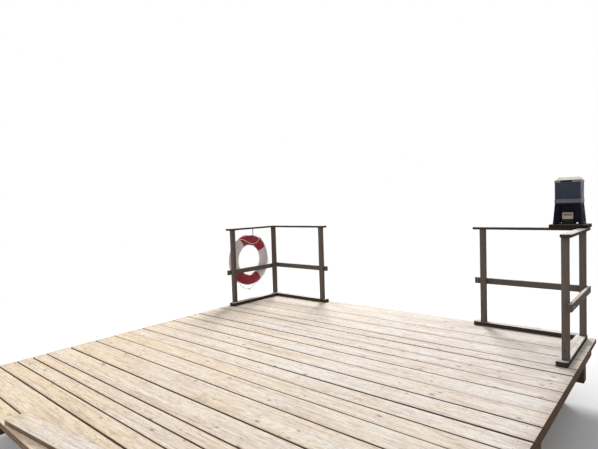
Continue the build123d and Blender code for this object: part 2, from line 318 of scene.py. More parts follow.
def moulded(name, base, worn, dusty, dust=0.25, rough=0.5, grain=0.3, grain_scale=420.0, **constants):
    """Moulded plastic or painted metal with fading, dust on what looks up, scratches and a fine grain."""
    shader = new_material(name, **constants)
    place = add("TexCoord").outputs["Object"]
    wear = add("Group", {"Place": place, "Scale": 1.0}, node_tree=wear_group).outputs
    skin = tint(times(wear["Stains"], 0.45), base, worn)
    skin = tint(times(wear["Scratches"], dust * 0.6), skin, dusty)
    settled = times(scaled(upward(), 0.8, 0.2), wear["Dust"])
    skin = tint(times(settled, dust), skin, dusty)
    height = scaled(wear["Scratches"], -0.25, speckle(place, grain_scale))
    coat(shader, skin, scaled(wear["Dust"], 0.25, rough), height, grain, 0.0006)


# Deck: the very dark side colour paints the shade in the gaps between boards and on the deck's edges
timbered(
    "deck_wood", top=(246, 242, 235), warm=(246, 226, 196), blush=(230, 213, 203), side=(44, 36, 31),
    dark=(150, 122, 102), knot=(84, 63, 50), spacing=0.0065, rings=0.4, streaks=0.36, edge=0.3, bleach_and_sunlight=0.9,
)
# Rails and posts: the brown side colour is their faces in painted shade
timbered(
    "rail_wood", top=(243, 238, 231), warm=(232, 221, 207), blush=(218, 204, 190), side=(112, 103, 96),
    dark=(84, 74, 67), knot=(56, 46, 40), spacing=0.005, rings=0.45, streaks=0.3, edge=0.25, bleach_and_sunlight=0.85,
)
# Handrails and sills: a copy of the rail wood with whiter tops (painted sunlight) and darker sides and ends
# (painted shade)
timbered(
    "handrail_wood", top=(248, 244, 239), warm=(240, 231, 220), blush=(226, 214, 204), side=(76, 67, 62),
    dark=(58, 50, 46), knot=(38, 31, 28), spacing=0.005, rings=0.3, streaks=0.22, edge=0.15, bleach_and_sunlight=0.95,
)
# Feeder shelf: a darker copy of the rail wood, with the feeder's shadow painted over all of it
timbered(
    "shaded_shelf_wood", top=(196, 186, 176), warm=(170, 156, 144), blush=(158, 140, 128), side=(54, 44, 40),
    dark=(44, 35, 32), knot=(32, 25, 23), spacing=0.005, rings=0.45, streaks=0.3, edge=0.25, bleach_and_sunlight=0.7,
)
timbered(
    "frame_wood", top=(140, 118, 98), warm=(124, 100, 80), blush=(122, 108, 92), side=(112, 92, 75),
    dark=(70, 55, 44), knot=(46, 33, 26), spacing=0.006, rings=0.5, streaks=0.4, edge=0.35, bleach_and_sunlight=0.7,
)
moulded(
    "ring_red", (140, 24, 42), (152, 42, 52), (186, 126, 126), dust=0.24, rough=0.34, grain=0.12,
    specular=0.25, Coat_Weight=0.1, Coat_Roughness=0.25,
)
# The white is greyed a little toward the ring's shaded face, as painted shade
moulded(
    "ring_white", (198, 187, 188), (182, 170, 168), (156, 144, 136), dust=0.3, rough=0.34, grain=0.12,
    Coat_Weight=0.2, Coat_Roughness=0.25,
)
moulded(
    "ring_band", (214, 204, 200), (194, 182, 172), (160, 148, 136), dust=0.35, rough=0.6, grain=0.5,
    grain_scale=700.0,
)
# Its blue tint is a painted sky reflection
moulded("black_plastic", (13, 14, 29), (20, 21, 36), (64, 62, 66), dust=0.08, specular=0.09)
moulded("brown_plastic", (38, 32, 31), (48, 41, 38), (88, 80, 72), dust=0.2, grain=0.35, specular=0.2)
moulded(
    "grey_plastic", (50, 56, 69), (58, 64, 77), (112, 112, 114), dust=0.14, rough=0.36, grain=0.25,
    specular=0.12,
)
moulded("band_plastic", (92, 91, 97), (106, 104, 106), (140, 136, 132), rough=0.4, grain=0.25, specular=0.2)
moulded(
    "rim_plastic", (122, 119, 120), (134, 129, 126), (158, 152, 144), rough=0.4, grain=0.25, specular=0.2,
)
moulded("cream_plastic", (247, 243, 230), (240, 232, 212), (206, 194, 168), rough=0.45, grain=0.25)
moulded("label_beige", (152, 146, 126), (140, 132, 112), (112, 102, 84), dust=0.35, grain_scale=800.0)
moulded("label_brown", (98, 84, 62), (86, 72, 52), (126, 112, 90), dust=0.3, grain_scale=800.0)
moulded(
    "steel", (104, 90, 88), (92, 70, 62), (80, 58, 46), dust=0.4, rough=0.42,
    grain_scale=900.0, Metallic=0.7,
)
moulded(
    "screw_steel", (150, 140, 130), (122, 108, 96), (100, 82, 68), dust=0.5,
    grain_scale=900.0, Metallic=0.6,
)

# Cream laid rope with fine yarns, greyed where dirt settles
shader = new_material("rope", specular=0.2, Sheen_Weight=0.2)
place = add("TexCoord").outputs["Object"]
wear = add("Group", {"Place": place, "Scale": 6.0}, node_tree=wear_group).outputs
yarns = speckle(place, 900.0)
skin = tint(times(wear["Dust"], 0.4), (232, 222, 202), (176, 160, 136))
skin = tint(times(yarns, 0.25), skin, (150, 134, 112))
coat(shader, skin, 0.85, yarns, 0.5, 0.0005)


# Shaping

def only(*chosen):
    """Select just these pieces and make the first one active."""
    for other in list(bpy.context.selected_objects):
        other.select_set(False)
    for piece in chosen:
        piece.select_set(True)
    bpy.context.view_layer.objects.active = chosen[0]


def settle(name, size=None):
    """The new piece, named, with its place, turn and size moved into its mesh."""
    piece = bpy.context.object
    piece.name = piece.data.name = name
    if size is not None:
        piece.scale = size
    only(piece)
    bpy.ops.object.transform_apply(location=True, rotation=True, scale=True)
    return piece


def block(name, low, high):
    """A squared blank between two corners."""
    low, high = Vector(low), Vector(high)
    bpy.ops.mesh.primitive_cube_add(size=1, location=(low + high) / 2, scale=high - low)
    return settle(name)


def round_bar(name, place, radius, length, sides):
    """A round upright blank about a centre."""
    bpy.ops.mesh.primitive_cylinder_add(vertices=sides, radius=radius, depth=length, location=place)
    return settle(name)


def pick(piece, mode, wanted=lambda part: True):
    """Edit mode with just the wanted faces, edges or points selected."""
    only(piece)
    bpy.ops.object.mode_set(mode="EDIT")
    bpy.ops.mesh.select_mode(type=mode)
    bpy.ops.mesh.select_all(action="DESELECT")
    mesh = bmesh.from_edit_mesh(piece.data)
    mesh.normal_update()
    for part in {"FACE": mesh.faces, "EDGE": mesh.edges, "VERT": mesh.verts}[mode]:
        if wanted(part):
            part.select_set(True)
    bmesh.update_edit_mesh(piece.data)


def pick_long(piece, axis, length):
    """Edit mode with just the edges selected that run along an axis for the whole length."""
    pick(piece, "EDGE", lambda edge: abs((edge.verts[0].co - edge.verts[1].co)[axis]) > 0.9 * length)


def is_top(face):
    """Whether a face looks up."""
    return face.normal.z > 0.9


def is_front(face):
    """Whether a face looks to the shore."""
    return face.normal.y < -0.9


def done():
    """Back to object mode."""
    bpy.ops.object.mode_set(mode="OBJECT")


def face_outwards(piece):
    """Turn all faces to look outwards."""
    pick(piece, "FACE")
    bpy.ops.mesh.normals_make_consistent(inside=False)
    done()


def press(piece, wanted, shift, inset=0):
    """Push the wanted faces by a shift, within an inset border if there is one."""
    pick(piece, "FACE", wanted)
    if inset:
        bpy.ops.mesh.inset(thickness=inset)
    bpy.ops.mesh.extrude_region_move(TRANSFORM_OT_translate={"value": shift})
    done()


def shaped(piece, kind, **settings):
    """Give a piece a modifier and apply it."""
    only(piece)
    modifier = piece.modifiers.new(kind.lower(), kind)
    for name, value in settings.items():
        setattr(modifier, name, value)
    bpy.ops.object.modifier_apply(modifier=modifier.name)


def ease_edges(piece, width, segments=2, angle=32):
    """Round off every edge that is sharper than an angle."""
    limit = {"limit_method": "ANGLE", "angle_limit": radians(angle)}
    shaped(piece, "BEVEL", width=width, segments=segments, harden_normals=False, **limit)


def rounded_block(name, low, high, radius):
    """A squared blank with rounded upright corners."""
    piece = block(name, low, high)
    pick_long(piece, 2, high[2] - low[2])
    bpy.ops.mesh.bevel(offset=radius, segments=7)
    done()
    return piece


def saw(piece, place, normal):
    """Saw a piece through and drop what lies on the normal's side."""
    pick(piece, "FACE")
    bpy.ops.mesh.bisect(plane_co=place, plane_no=normal, use_fill=True, clear_outer=True)
    done()


def copied(piece, name):
    """A copy of a piece with its own mesh."""
    made = placed(name, piece.data.copy())
    made.data.name = name
    return made


def joined(name, pieces):
    """Several meshes made one piece."""
    only(*pieces)
    bpy.ops.object.join()
    made = bpy.context.object
    made.name = made.data.name = name
    return made


def from_node(name, node):
    """A clean copy of a node's solid, with its flat faces whole, to be worked on."""
    made = copied(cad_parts[node], name)
    pick(made, "VERT")
    bpy.ops.mesh.remove_doubles(threshold=1e-5)
    bpy.ops.mesh.dissolve_limited(angle_limit=radians(1))
    done()
    return made


def finish_piece(piece, material, nodes=(), smooth=35):
    """Shading, material and body of a finished piece; the nodes that it stands for are hidden."""
    only(piece)
    bpy.ops.object.shade_smooth_by_angle(angle=radians(smooth))
    piece.data.materials.clear()
    piece.data.materials.append(materials[material])
    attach(piece, "root")
    if nodes:
        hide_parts(*nodes)
    return piece


def joint_box(*nodes):
    """The lowest and the highest corner of the box round several nodes."""
    lows, highs = zip(*map(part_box, nodes))
    return Vector(map(min, *lows)), Vector(map(max, *highs))


axes = {"X": (0, 1, 2), "Y": (1, 0, 2), "Z": (2, 0, 1)}  # along a timber, then across it


def run_grain(piece, along, seed, knots, tone):
    """Store each point's place on the timber's own axes, its half sizes, and its seed, knots and tone."""
    points = [vertex.co for vertex in piece.data.vertices]
    low = [min(point[axis] for point in points) for axis in range(3)]
    high = [max(point[axis] for point in points) for axis in range(3)]
    order = axes[along]
    middle = [(low[axis] + high[axis]) / 2 for axis in order]
    half = [(high[axis] - low[axis]) / 2 for axis in order]
    places = [[point[axis] - middle[n] for n, axis in enumerate(order)] for point in points]
    for name, values in (
        ("timber_place", places),
        ("timber_half", [half] * len(points)),
        ("timber_traits", [(seed, knots, tone)] * len(points)),
    ):
        attribute = piece.data.attributes.new(name, "FLOAT_VECTOR", "POINT")
        attribute.data.foreach_set("vector", [part for value in values for part in value])


# Grab line: four stretches of laid rope between the lifebuoy's lugs

ring_low, ring_high = joint_box("lifebuoy_red", "lifebuoy_white")
ring_centre = (ring_low + ring_high) / 2
ring_radius = 0.375
hole_radius = 0.22
ring_thickness = 0.1
lug_radius = 0.386
lug_face = 0.012
lug_size = (0.022, 0.020, 0.024)
line_lead = 0.036
fixing_angles = [50, 140, 230, 320]
rope_diameter = 0.01
rope_lay = 0.036

# Y, Z and X from the ring's centre
line_points = {
    "top": [
        (0.190, 0.322, 0.040), (0.146, 0.280, 0.064), (0.098, 0.246, 0.066), (0.038, 0.236, 0.066),
        (-0.034, 0.250, 0.066), (-0.098, 0.282, 0.064), (-0.154, 0.308, 0.058), (-0.208, 0.320, 0.042),
    ],
    "left": [
        (-0.353, 0.158, 0), (-0.378, 0.084, 0), (-0.387, -0.002, 0), (-0.382, -0.092, 0),
        (-0.350, -0.178, 0),
    ],
    "bottom": [
        (-0.164, -0.383, 0), (-0.122, -0.407, 0), (-0.070, -0.428, 0), (-0.022, -0.443, 0),
        (0.026, -0.422, 0), (0.066, -0.398, 0), (0.104, -0.378, 0), (0.146, -0.357, 0), (0.196, -0.333, 0),
    ],
    "right": [
        (0.364, -0.172, 0), (0.396, -0.110, 0), (0.396, -0.066, 0), (0.387, 0.004, 0), (0.377, 0.082, 0),
        (0.352, 0.158, 0), (0.319, 0.219, 0),
    ],
}


def ring_point(angle, radius, along=0.0):
    """A point by the ring: an angle from +Y towards +Z, a radius, then along the tangent."""
    turn = radians(angle)
    level = radius * cos(turn) - along * sin(turn)
    height = radius * sin(turn) + along * cos(turn)
    return ring_centre + Vector((0, level, height))


def smooth_line(name, points, resolution=20):
    """The points that a smooth spline with these control points runs through."""
    curve = bpy.data.curves.new(name + "_line", "CURVE")
    curve.dimensions = "3D"
    curve.resolution_u = resolution
    spline = curve.splines.new("NURBS")
    spline.points.add(len(points) - 1)
    for held, place in zip(spline.points, points):
        held.co = (*place, 1)
    spline.order_u = 3
    spline.use_endpoint_u = True
    holder = bpy.data.objects.new(name + "_line", curve)
    mesh = bpy.data.meshes.new_from_object(holder)
    path = [vertex.co.copy() for vertex in mesh.vertices]
    bpy.data.objects.remove(holder)
    return path


def lay_rope(name, path, diameter, lay_length):
    """Three strands laid round each other along a path, as one mesh."""
    strands, sides = 3, 7
    strand_radius = diameter * 0.29
    lay_radius = diameter / 2 - strand_radius
    made = bmesh.new()
    across = None
    run = 0.0
    stations = []
    for number, here in enumerate(path):
        before, after = path[max(number - 1, 0)], path[min(number + 1, len(path) - 1)]
        run += (here - before).length
        tangent = (after - before).normalized()
        if across is None:
            across = tangent.orthogonal().normalized()
        across = (across - tangent * across.dot(tangent)).normalized()
        stations.append((run, here, tangent, across, tangent.cross(across)))
    for strand in range(strands):
        rings = []
        for run, here, tangent, first, second in stations:
            turn = tau * (run / lay_length + strand / strands)
            middle = here + lay_radius * (first * cos(turn) + second * sin(turn))
            slope = second * cos(turn) - first * sin(turn)
            slope = (tangent * lay_length + tau * lay_radius * slope).normalized()
            outwards = (middle - here).normalized()
            sideways = slope.cross(outwards)
            ring = []
            for side in range(sides):
                around = tau * side / sides
                spoke = outwards * cos(around) + sideways * sin(around)
                ring.append(made.verts.new(middle + strand_radius * spoke))
            rings.append(ring)
        for ring, following in zip(rings, rings[1:]):
            for side in range(sides):
                beside = (side + 1) % sides
                made.faces.new((ring[side], ring[beside], following[beside], following[side]))
        made.faces.new(reversed(rings[0]))
        made.faces.new(rings[-1])
    mesh = bpy.data.meshes.new(name)
    bmesh.ops.recalc_face_normals(made, faces=made.faces)
    made.to_mesh(mesh)
    made.free()
    return placed(name, mesh)


knot_lay = 0.022
knot_centre = ring_centre + Vector((0, -0.022, -0.4355))
knot_path = [
    knot_centre + Vector((
        0.0030 * -1.4 * sin(3 * t),
        0.0035 * (sin(t) + 2 * sin(2 * t)),
        0.0035 * (cos(t) - 2 * cos(2 * t)),
    ))
    for t in (tau * n / 36 for n in range(37))
]
knot_parts = [lay_rope("knot_turns", knot_path, 0.0075, knot_lay)]
for lean, drop in ((-0.010, 0.034), (0.008, 0.028)):
    tail_points = [
        knot_centre + Vector((0.004, lean * 0.3, -0.004)),
        knot_centre + Vector((0.006, lean * 0.9, -0.5 * drop)),
        knot_centre + Vector((0.004, lean * 1.6, -drop)),
    ]
    knot_parts.append(lay_rope("knot_tail", smooth_line("knot_tail", tail_points, 8), 0.007, knot_lay))
rope_knot = finish_piece(joined("grab_line_knot", knot_parts), "rope", ["grab_line"], smooth=60)

for number, (part, between) in enumerate(line_points.items()):
    first_lug, next_lug = fixing_angles[number], fixing_angles[(number + 1) % 4]
    route = [ring_point(first_lug, lug_radius, lead) for lead in (lug_face, lug_face + line_lead)]
    route += [ring_centre + Vector((x, y, z)) for y, z, x in between]
    route += [ring_point(next_lug, lug_radius, -lead) for lead in (lug_face + line_lead, lug_face)]
    path = smooth_line(part, route)
    line = lay_rope(f"grab_line_{part}", path, rope_diameter, rope_lay)
    finish_piece(line, "rope", ["grab_line"], smooth=60)


# Screw and bolt heads, modelled once and copied

# A low screw head with a bevelled rim and a sunk drive, its foot at the origin, looking up
screw_head = round_bar("screw_model", (0, 0, 0.0007), 0.0055, 0.0014, 10)
pick(screw_head, "FACE", is_top)
bpy.ops.mesh.inset(thickness=0.0011)
bpy.ops.transform.translate(value=(0, 0, 0.0004))
bpy.ops.mesh.inset(thickness=0.0019)
bpy.ops.mesh.extrude_region_move(TRANSFORM_OT_translate={"value": (0, 0, -0.0011)})
done()

# A hexagonal bolt head on its washer, looking up
head = round_bar("bolt_model", (0, 0, 0.0045), 0.0095, 0.005, 6)
ease_edges(head, 0.0006, 2, 50)
washer = round_bar("washer_model", (0, 0, 0.001), 0.0135, 0.002, 20)
ease_edges(washer, 0.0004, 1, 50)
bolt_head = joined("bolt_model", [head, washer])

up = (0, 0, 1)


def fixings(name, model, places, material):
    """Copies of a head as one piece, from places and the directions that the heads look in."""
    heads = []
    for number, (place, direction) in enumerate(places):
        head = copied(model, f"{name}_{number}")
        head.data.transform(Vector(up).rotation_difference(Vector(direction)).to_matrix().to_4x4())
        head.data.transform(Matrix.Translation(Vector(place)))
        heads.append(head)
    return finish_piece(joined(name, heads), material)


# Deck boards, from the water to the shore

board_widths = [
    0.265, 0.225, 0.245, 0.255, 0.160, 0.195, 0.165, 0.190, 0.215, 0.200, 0.205,
    0.175, 0.165, 0.210, 0.260, 0.225, 0.120, 0.130, 0.140, 0.215, 0.130,
]
board_gap = 0.006
left_edge = -2.05
flare = 0.19
spare_length = 0.05  # of a board's blank, past the saw cut
gap_stations = (-1.6, 0.0, 1.6)
# Millimetres between each board and the next one, at the three stations
gap_seen = [
    (4, 4, 4), (3, 3, 4), (9, 9, 9), (13, 15, 12), (12, 12, 16), (3, 10, 4), (18, 17, 8), (10, 12, 7),
    (18, 16, 3), (3, 12, 16), (12, 15, 21), (4, 7, 15), (6, 6, 6), (11, 11, 14), (17, 15, 15), (10, 11, 11),
    (13, 12, 12), (11, 10, 10), (11, 13, 13), (10, 11, 11),
]
board_tones = [
    0.2, 0.1, 0.3, 0.15, 0.3, 0.2, 0.2, 0.35, 0.2, 0.4, 0.3,
    0.45, 0.6, 0.5, 0.6, 0.55, 0.7, 0.6, 0.8, 0.7, 0.8,
]
board_knots = [
    0.2, 0.15, 0.25, 0.15, 0.25, 0.4, 0.85, 0.3, 0.2, 0.25, 0.2,
    0.25, 0.15, 0.3, 0.2, 0.15, 0.1, 0.2, 0.15, 0.2, 0.15,
]

deck_low, deck_high = joint_box(*(f"deck_boards_{n}" for n in range(1, 8)))
deck_depth = deck_high.y - deck_low.y
slant = Vector((1, flare / deck_depth, 0)).normalized()  # square to the boards' slanting left ends


def board_ends(y):
    """The X of the boards' slanting left ends."""
    return left_edge - flare * ((y - deck_low.y) / deck_depth)


def gap_growth(gap, x):
    """How much farther than planned a board stands back at a gap, which is uneven along the deck."""
    if not 0 <= gap < len(gap_seen):
        return 0.0
    first, second = (0, 1) if x < gap_stations[1] else (1, 2)
    share = (x - gap_stations[first]) / (gap_stations[second] - gap_stations[first])
    share = min(max(share, 0.0), 1.0)
    width = gap_seen[gap][first] * (1 - share) + gap_seen[gap][second] * share
    return (width / 1000 - board_gap) / 2


def deck_board(number, low_y, high_y, node):
    """One board: cupped, its ends sawn along the deck's slanting edge, its edges eased."""
    width = high_y - low_y
    middle_y = (low_y + high_y) / 2
    left = deck_low.x - spare_length
    middle = ((left + deck_high.x) / 2, middle_y, deck_high.z)
    bpy.ops.mesh.primitive_grid_add(x_subdivisions=26, y_subdivisions=6, size=1, location=middle)
    board = settle(f"board_{number:02d}", (deck_high.x - left, width, 1))
    press(board, lambda face: True, (0, 0, deck_low.z - deck_high.z))
    face_outwards(board)
    saw(board, (board_ends(low_y), low_y, 0), -slant)
    cup = 0.0007 + 0.0006 * sin(number * 2.3)
    for vertex in board.data.vertices:
        across = 2 * (vertex.co.y - middle_y) / width
        wave = noise.noise(Vector((vertex.co.x * 1.4, number * 3.1, 0)))
        if vertex.co.z > deck_high.z - 0.001:
            vertex.co.z -= cup * across * across + 0.0005 * (1 + wave)
        vertex.co.y += (1 - across) / 2 * gap_growth(number - 1, vertex.co.x)
        vertex.co.y -= (1 + across) / 2 * gap_growth(number - 2, vertex.co.x)
        if deck_low.y + 0.01 < vertex.co.y < deck_high.y - 0.01:
            waver = noise.noise(Vector((vertex.co.x * 2.1, number * 5.7, 4)))
            vertex.co.y += 0.0011 * waver * abs(across)
    ease_edges(board, 0.0025)
    run_grain(board, "X", number * 1.37, board_knots[number - 1], board_tones[number - 1])
    finish_piece(board, "deck_wood", [node])


joist_lines = [sum(corner.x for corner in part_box(f"joist_{n}")) / 2 for n in range(1, 6)]
left_joist_inset = 0.075
deck_screw_sink = 0.0022
board_top = deck_high.y
deck_screws = []
for number, width in enumerate(board_widths):
    low_y, high_y = board_top - width, board_top
    board_top -= width + board_gap
    deck_board(number + 1, low_y, high_y, f"deck_boards_{number // 3 + 1}")
    inset = 0.028 if width < 0.15 else 0.038
    for line in range(5):
        for end, y in enumerate((low_y + inset, high_y - inset)):
            x = joist_lines[line] if line else board_ends(y) + left_joist_inset
            x += 0.012 * noise.noise(Vector((number, line, end)))
            y += 0.008 * noise.noise(Vector((line, end, number)))
            deck_screws.append(((x, y, deck_high.z - deck_screw_sink), up))
fixings("deck_screws", screw_head, deck_screws, "screw_steel")


# Sawn timbers of the frame and the railings

def timber(name, low, high, along, seed):
    """A squared timber between two corners, a little hollow and uneven along its length."""
    piece = block(name, low, high)
    axis, *others = axes[along]
    pick_long(piece, axis, high[axis] - low[axis])
    bpy.ops.mesh.subdivide(number_cuts=9)
    done()
    for vertex in piece.data.vertices:
        if low[axis] + 0.01 < vertex.co[axis] < high[axis] - 0.01:
            for other in others:
                inwards = 1 if vertex.co[other] < (low[other] + high[other]) / 2 else -1
                dip = 0.5 + noise.noise(Vector((vertex.co[axis] * 2.5, seed, other * 2 + inwards)))
                vertex.co[other] += inwards * 0.0008 * max(dip, 0)
    return piece


def finished_timber(name, node, along, material, ease=0.003, knots=0.3, tone=0.4, saw_cuts=()):
    """A timber in its node's place, with its saw cuts, eased edges, grain and material."""
    seed = sum(map(ord, node)) * 0.173
    piece = timber(name, *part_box(node), along, seed)
    for place, normal in saw_cuts:
        saw(piece, place, normal)
    ease_edges(piece, ease)
    run_grain(piece, along, seed, knots, tone)
    finish_piece(piece, material, [node])


# The first joist runs along the boards' slanting ends
low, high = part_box("joist_1")
joist_cuts = [((high.x, low.y, 0), slant), ((low.x, high.y, 0), -slant)]
for number in range(1, 6):
    cuts = joist_cuts if number == 1 else []
    node = f"joist_{number}"
    finished_timber(f"joist_timber_{number}", node, "Y", "frame_wood", ease=0.004, saw_cuts=cuts)
for row in ("shore", "middle", "water"):
    finished_timber(f"bearer_timber_{row}", f"bearer_{row}", "X", "frame_wood", ease=0.005)

# Threshold plank, made straight and then turned about its near left corner

threshold_turn = radians(6)
threshold_size = Vector((1.5, 0.145, 0.03))
threshold_seed = 8.3
corner = Vector(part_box("threshold")[0])
corner.x += threshold_size.y * sin(threshold_turn)
threshold = timber("threshold_plank", corner, corner + threshold_size, "X", threshold_seed)
ease_edges(threshold, 0.003)
run_grain(threshold, "X", threshold_seed, 0.25, 0.35)
to_place = Matrix.Rotation(threshold_turn, 3, "Z")
for vertex in threshold.data.vertices:
    vertex.co = corner + to_place @ (vertex.co - corner)
finish_piece(threshold, "deck_wood", ["threshold"])


# Round piles with drying checks

pile_radius = 0.085
check_half_angle = radians(4.9)


def pile(name, node, x, y, height, seed):
    """A peeled log: slightly uneven, its head chamfered, with long drying checks in its sides."""
    piece = round_bar(name, (x, y, height / 2), pile_radius, height, 36)
    pick_long(piece, 2, height)
    bpy.ops.mesh.subdivide(number_cuts=5)
    done()
    for vertex in piece.data.vertices:
        away = Vector((vertex.co.x - x, vertex.co.y - y, 0))
        if away.length > 0.01:
            lump = noise.noise(Vector((away.x * 14, away.y * 14, vertex.co.z * 2 + seed)))
            away = away * (1 - 0.012 + 0.012 * lump)
            vertex.co.x, vertex.co.y = x + away.x, y + away.y
    for turn in (0.4 + seed, 2.6 + seed * 1.7, 4.5 + seed * 0.6):
        aim = Vector((cos(turn), sin(turn), 0))

        def in_check(face):
            """Whether a face of the side lies in the check, off the pile's head and foot."""
            middle = face.calc_center_median()
            away = Vector((middle.x - x, middle.y - y, 0))
            on_side = 0.03 < middle.z < height - 0.02 and abs(face.normal.z) < 0.3
            return on_side and away.angle(aim) < check_half_angle

        press(piece, in_check, aim * -0.012, inset=0.0062)
    ease_edges(piece, 0.004, 2, 50)
    run_grain(piece, "Z", seed, 0.3, 0.4)
    finish_piece(piece, "frame_wood", [node])


for row in ("shore", "middle", "water"):
    node = f"piles_{row}"
    low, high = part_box(node)
    for number, x in enumerate((low.x + pile_radius, (low.x + high.x) / 2, high.x - pile_radius)):
        pile(f"pile_{row}_{number + 1}", node, x, (low.y + high.y) / 2, high.z, 1.9 * number + len(row))


# Railings

screw_sink = 0.001
corner_bolt_shift = 0.03
rail_bolts = []
rail_screws = []
for side, out in (("left", -1), ("right", 1)):
    corner = sum(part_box(f"{side}_corner_post"), Vector()) / 2
    handrail_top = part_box(f"{side}_side_handrail")[1].z
    rail_low, rail_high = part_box(f"{side}_side_mid_rail")
    bolt_level = (rail_low.z + rail_high.z) / 2
    side_face = rail_low.x if out < 0 else rail_high.x
    water_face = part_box(f"{side}_water_mid_rail")[1].y
    for place in ("side", "corner", "water"):
        node = f"{side}_{place}_post"
        finished_timber(node + "_timber", node, "Z", "rail_wood", knots=0.2)
        low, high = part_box(node)
        post = (low + high) / 2
        for shift in (-0.013, 0.013):
            head = (post.x + shift, post.y + shift * 0.7, handrail_top - screw_sink)
            rail_screws.append((head, up))
        if place != "water":
            rail_bolts.append(((side_face, post.y, bolt_level), (out, 0, 0)))
        if place != "side":
            bolt_x = post.x - (out * corner_bolt_shift if place == "corner" else 0)
            rail_bolts.append(((bolt_x, water_face, bolt_level), (0, 1, 0)))
    for arm, along, mitre in (("side", "Y", (-out, 1, 0)), ("water", "X", (out, -1, 0))):
        for part, wood, ease in (("sill", "handrail_wood", 0.004), ("mid_rail", "rail_wood", 0.003)):
            node = f"{side}_{arm}_{part}"
            finished_timber(node + "_timber", node, along, wood, ease=ease, knots=0.25)
        node = f"{side}_{arm}_handrail"
        cuts = [(corner, Vector(mitre).normalized())]
        finished_timber(node + "_timber", node, along, "handrail_wood", 0.006, 0.2, 0.1, cuts)
        low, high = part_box(f"{side}_{arm}_sill")
        axis = axes[along][0]
        for share in (0.3, 0.62):
            head = (low + high) / 2
            head[axis] = low[axis] + share * (high[axis] - low[axis])
            head.z = high.z - screw_sink
            rail_screws.append((head, up))
fixings("rail_bolts", bolt_head, rail_bolts, "screw_steel")
fixings("rail_screws", screw_head, rail_screws, "screw_steel")


# Lifebuoy

def swept_ring(name, angle, turn, grow, steps):
    """The ring's section, grown on all sides, spun from an angle through a turn about the ring's axis."""
    middle = ring_point(angle, (ring_radius + hole_radius) / 2)
    half_height = (ring_radius - hole_radius) / 2 + grow
    tilt = (radians(angle), 0, 0)
    bpy.ops.mesh.primitive_circle_add(vertices=40, radius=1, location=middle, rotation=tilt)
    piece = settle(name, (ring_thickness / 2 + grow, half_height, 1))
    pick(piece, "EDGE")
    bpy.ops.mesh.spin(steps=steps, angle=radians(turn), center=ring_centre, axis=(-1, 0, 0))
    done()
    return piece


def off_angle(place, angle):
    """How far a point lies from the ring's half plane at an angle."""
    turn = radians(angle)
    return abs((place - ring_centre).dot(Vector((0, -sin(turn), cos(turn)))))


def ring_quarter(name, angle):
    """A quarter of the ring, closed at both ends, with a soft groove at each seam."""
    piece = swept_ring(name, angle, 90, 0, 30)
    for end in (angle, angle + 90):
        pick(piece, "EDGE", lambda edge: all(off_angle(point.co, end) < 1e-4 for point in edge.verts))
        bpy.ops.mesh.edge_face_add()
        done()
    pick(piece, "FACE")
    bpy.ops.mesh.remove_doubles(threshold=1e-5)
    done()
    face_outwards(piece)
    ease_edges(piece, 0.0022, 3, 50)
    return piece


band_turn = 5
band_rise = 0.0018


def ring_strap(name, angle):
    """The band round the ring that carries a lug."""
    band = swept_ring(name, angle - band_turn / 2, band_turn, band_rise, 3)
    face_outwards(band)
    shaped(band, "SOLIDIFY", thickness=0.003, offset=0)
    ease_edges(band, 0.0009, 2, 40)
    return band


def ring_lug(name, angle):
    """The lug that holds the grab line, with a collar at each rope hole."""
    tilt = (radians(angle), 0, 0)
    middle = ring_point(angle, lug_radius)
    bpy.ops.mesh.primitive_cube_add(size=1, location=middle, rotation=tilt, scale=lug_size)
    parts = [settle(name + "_block")]
    ease_edges(parts[0], 0.0045, 3)
    for end in (-1, 1):
        hole = ring_point(angle, lug_radius, end * (lug_face - 0.0006))
        bpy.ops.mesh.primitive_torus_add(
            location=hole, rotation=tilt,
            major_radius=0.0066, minor_radius=0.0016, major_segments=24, minor_segments=8,
        )
        parts.append(settle(name + "_collar"))
    return joined(name, parts)


for shade, first in (("red", 32), ("white", 122)):
    for half in range(2):
        quarter = ring_quarter(f"lifebuoy_{shade}_{half + 1}", first + 180 * half)
        finish_piece(quarter, f"ring_{shade}", [f"lifebuoy_{shade}"], smooth=60)

# Each band has the colour of the quarter under it
for number, angle in enumerate(fixing_angles):
    strap = ring_strap(f"ring_band_{number + 1}", angle)
    finish_piece(strap, ("ring_red", "ring_white")[number % 2], ["lifebuoy_bands"], smooth=50)
    lug = ring_lug(f"ring_lug_{number + 1}", angle)
    finish_piece(lug, "ring_band", ["lifebuoy_bands"], smooth=50)

hook = from_node("lifebuoy_hook_strap", "lifebuoy_hook")
ease_edges(hook, 0.0011)
finish_piece(hook, "steel", ["lifebuoy_hook"])
hook_low, hook_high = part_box("lifebuoy_hook")
hook_thickness = 0.004
hook_screw_drop = 0.014
hook_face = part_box("left_side_mid_rail")[0].x - hook_thickness
hook_screw = (hook_face, (hook_low.y + hook_high.y) / 2, hook_high.z - hook_screw_drop)
fixings("hook_screw", screw_head, [(hook_screw, (-1, 0, 0))], "steel")


# Fish feeder: shelf and housing

finished_timber("feeder_shelf_board", "feeder_shelf", "X", "shaded_shelf_wood", ease=0.004, knots=0.2)

housing = from_node("feeder_housing", "feeder_base")
ease_edges(housing, 0.005, 3)
finish_piece(housing, "black_plastic", ["feeder_base"], smooth=40)

base_low, base_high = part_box("feeder_base")
base_middle = (base_low + base_high) / 2
base_foot_half = (base_high - base_low) / 2
base_top_half = Vector((0.106, 0.1025, 0))
rib_low, rib_high = base_low.z + 0.026, base_high.z - 0.014
rib_rise, rib_root = 0.0035, 0.004


